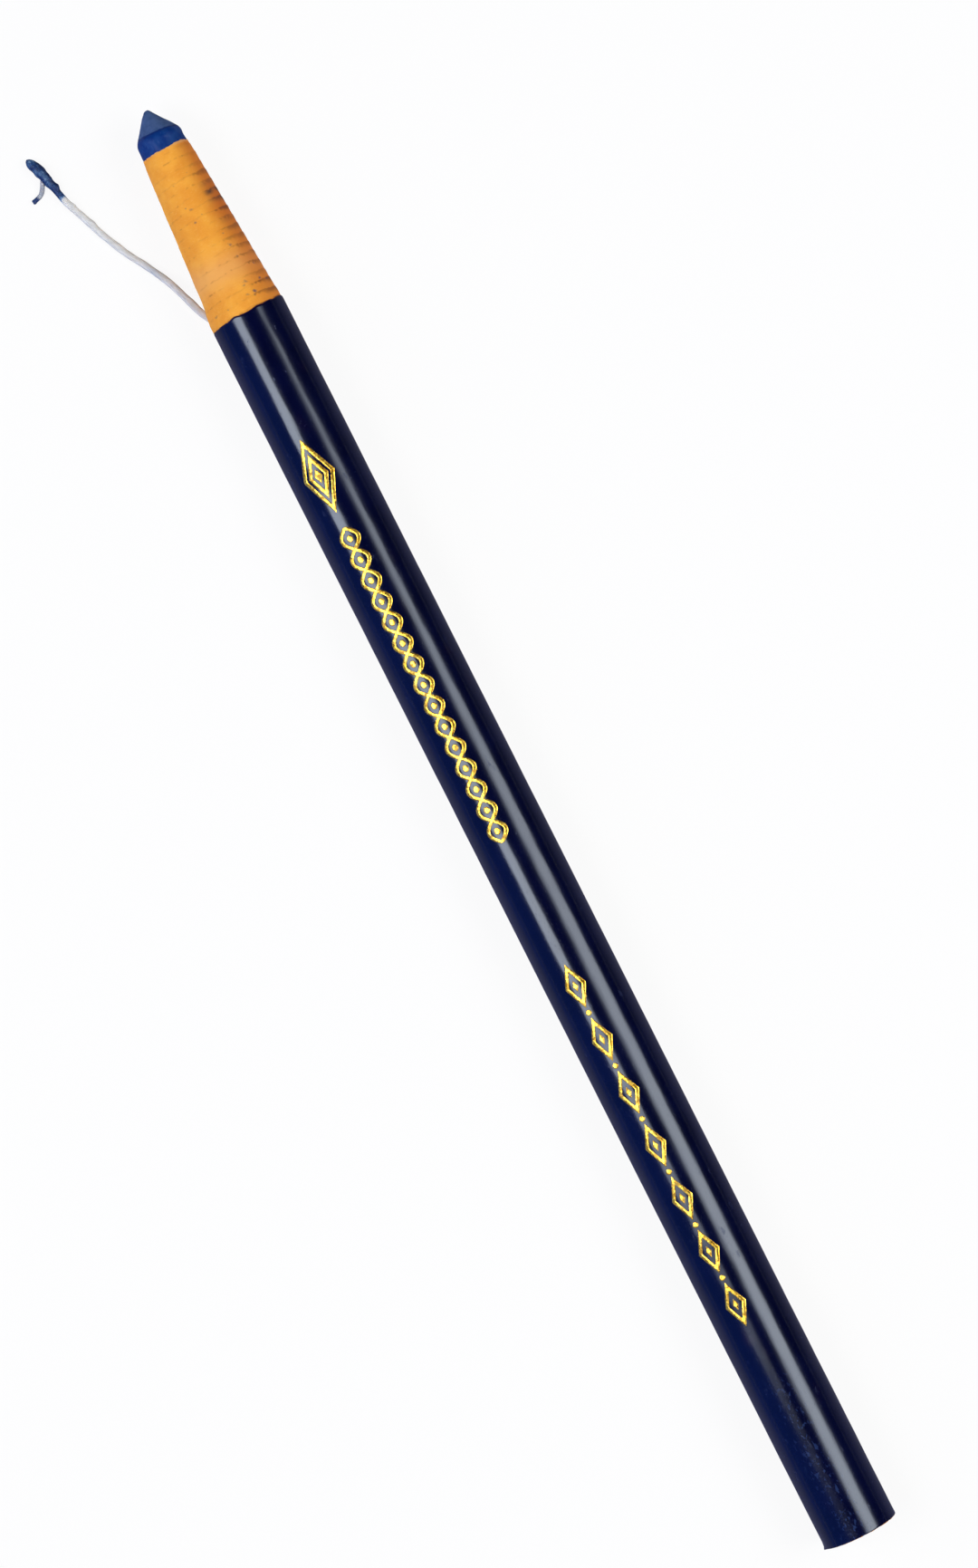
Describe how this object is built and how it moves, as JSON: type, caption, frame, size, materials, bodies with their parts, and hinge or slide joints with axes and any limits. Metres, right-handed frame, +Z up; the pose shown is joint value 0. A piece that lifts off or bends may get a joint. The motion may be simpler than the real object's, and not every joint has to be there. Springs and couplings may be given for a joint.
{
  "type": "china marker",
  "caption": "Wax china marker in a peel-off paper barrel, lying on its side, with a bare wax point, a stepped paper cone and a pull string that swings at its exit.",
  "frame": {"origin": "on the surface that the marker lies on, under the middle of its length", "axes": "+X along the marker's axis towards the wax point, +Y towards the side where the pull string leaves the paper, +Z up"},
  "size_m": [0.1798, 0.0206, 0.0089],
  "materials": {
    "blue_wax": "pigmented wax, dull with a soft sheen",
    "kraft_paper": "bare wound kraft paper, matt",
    "blue_wrap": "dark blue paper with a glossy varnish",
    "string": "waxed off-white thread",
    "bead_wax": "smeared wax, dull"
  },
  "bodies": {
    "marker": {"wax_core": "blue_wax", "paper_winding": "kraft_paper", "outer_wrap": "blue_wrap", "held_string": "string"},
    "string": {"pull_string": "string", "string_bead": "bead_wax", "string_tail": "string"}
  },
  "joints": [
    {"name": "string_swing", "type": "hinge", "parent": "marker", "child": "string", "pos_m": [0.06579, 0.00447, 0.003], "axis": [0, 0, 1], "range_deg": [-25, 115]}
  ]
}
